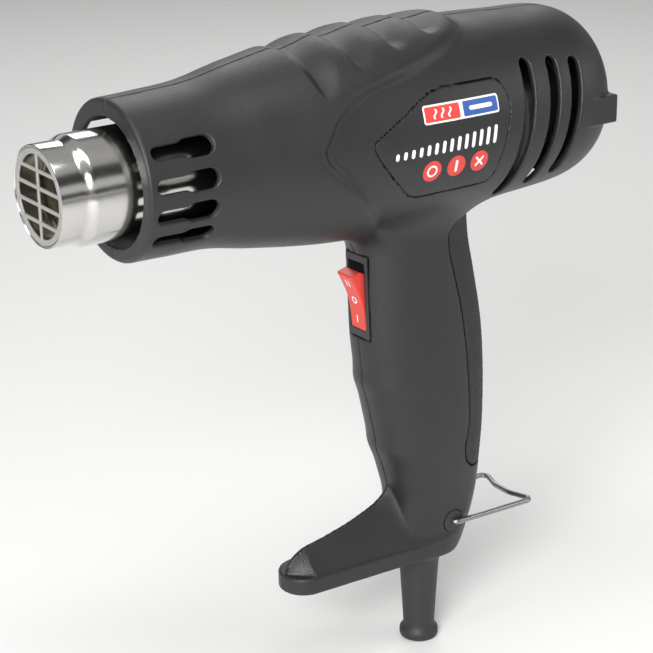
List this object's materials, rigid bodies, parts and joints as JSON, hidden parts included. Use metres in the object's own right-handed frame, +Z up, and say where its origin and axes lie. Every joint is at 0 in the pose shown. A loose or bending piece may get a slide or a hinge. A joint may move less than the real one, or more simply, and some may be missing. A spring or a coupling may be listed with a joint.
{
  "type": "heat gun",
  "caption": "Pistol-grip hot air gun: chrome nozzle in a slotted collar, ribbed barrel, rocker switch, rubber grip and a swinging wire bail at the foot.",
  "frame": {"origin": "centre of the nozzle mouth on the barrel axis", "axes": "+X rearward along the barrel axis, +Z up away from the handle, +Y to the side away from the three round marks of the pictured side"},
  "size_m": [0.235, 0.079, 0.2616],
  "materials": {
    "housing_plastic": "fine spark texture, charcoal",
    "grip_rubber": "matt, dimpled",
    "label_plastic": "smooth satin with printed marks",
    "screw_steel": "blackened",
    "nozzle_chrome": "polished",
    "grille_steel": "matt, heat greyed",
    "mica": "flaky, semi-matt",
    "heating_wire": "oxidised",
    "phenolic": "brown, matt",
    "duct_plastic": "smooth, heat resistant",
    "motor_steel": "zinc plated",
    "magnet_ferrite": "matt",
    "bearing_bronze": "sintered",
    "brush_carbon": "dull carbon",
    "shaft_steel": "ground",
    "lamination_steel": "stacked laminations",
    "copper_wire": "enamelled copper",
    "fan_plastic": "natural nylon",
    "switch_black": "satin black",
    "rocker_red": "red with white marks",
    "terminal_brass": "tinned brass",
    "board_green": "solder mask",
    "diode_black": "moulded epoxy",
    "capacitor_yellow": "film capacitor case",
    "terminal_nylon": "natural nylon",
    "boot_rubber": "smooth matt",
    "lead_insulation": "silicone sleeve",
    "bush_plastic": "smooth",
    "bail_steel": "bright drawn wire"
  },
  "bodies": {
    "root": {"left_shell": "housing_plastic", "right_shell": "housing_plastic", "soft_grip": "grip_rubber", "left_label_plate": "label_plastic", "right_label_plate": "label_plastic", "housing_screws": "screw_steel", "nozzle_tube": "nozzle_chrome", "nozzle_grille": "grille_steel", "mica_sleeve": "mica", "heater_former": "mica", "heater_coils": "heating_wire", "tube_clamp_ring": "phenolic", "thermal_cutout": "phenolic", "air_duct": "duct_plastic", "motor_mount": "duct_plastic", "motor_screws": "screw_steel", "motor_can": "motor_steel", "motor_magnets": "magnet_ferrite", "motor_end_cap": "duct_plastic", "front_bearing": "bearing_bronze", "rear_bearing": "bearing_bronze", "brushes": "brush_carbon", "switch_body": "switch_black", "switch_terminals": "terminal_brass", "rectifier_board": "board_green", "board_diodes": "diode_black", "suppression_capacitor": "capacitor_yellow", "terminal_block": "terminal_nylon", "cord_clamp": "terminal_nylon", "clamp_screws": "screw_steel", "cord_boot": "boot_rubber", "internal_leads": "lead_insulation", "left_bail_bush": "bush_plastic", "right_bail_bush": "bush_plastic"},
    "rotor": {"motor_shaft": "shaft_steel", "rotor_core": "lamination_steel", "rotor_windings": "copper_wire", "commutator": "terminal_brass", "impeller": "fan_plastic"},
    "rocker": {"rocker": "rocker_red"},
    "bail": {"bail_wire": "bail_steel"}
  },
  "joints": [
    {"name": "rotor_spin", "type": "hinge", "parent": "root", "child": "rotor", "pos_m": [0.2, 0, 0], "axis": [1, 0, 0], "continuous": true},
    {"name": "rocker_tilt", "type": "hinge", "parent": "root", "child": "rocker", "pos_m": [0.1356, 0, -0.06309], "axis": [0, 1, 0], "range_deg": [0, 28]},
    {"name": "bail_swing", "type": "hinge", "parent": "root", "child": "bail", "pos_m": [0.1679, 0, -0.1646], "axis": [0, 1, 0], "range_deg": [-52, 81]}
  ]
}
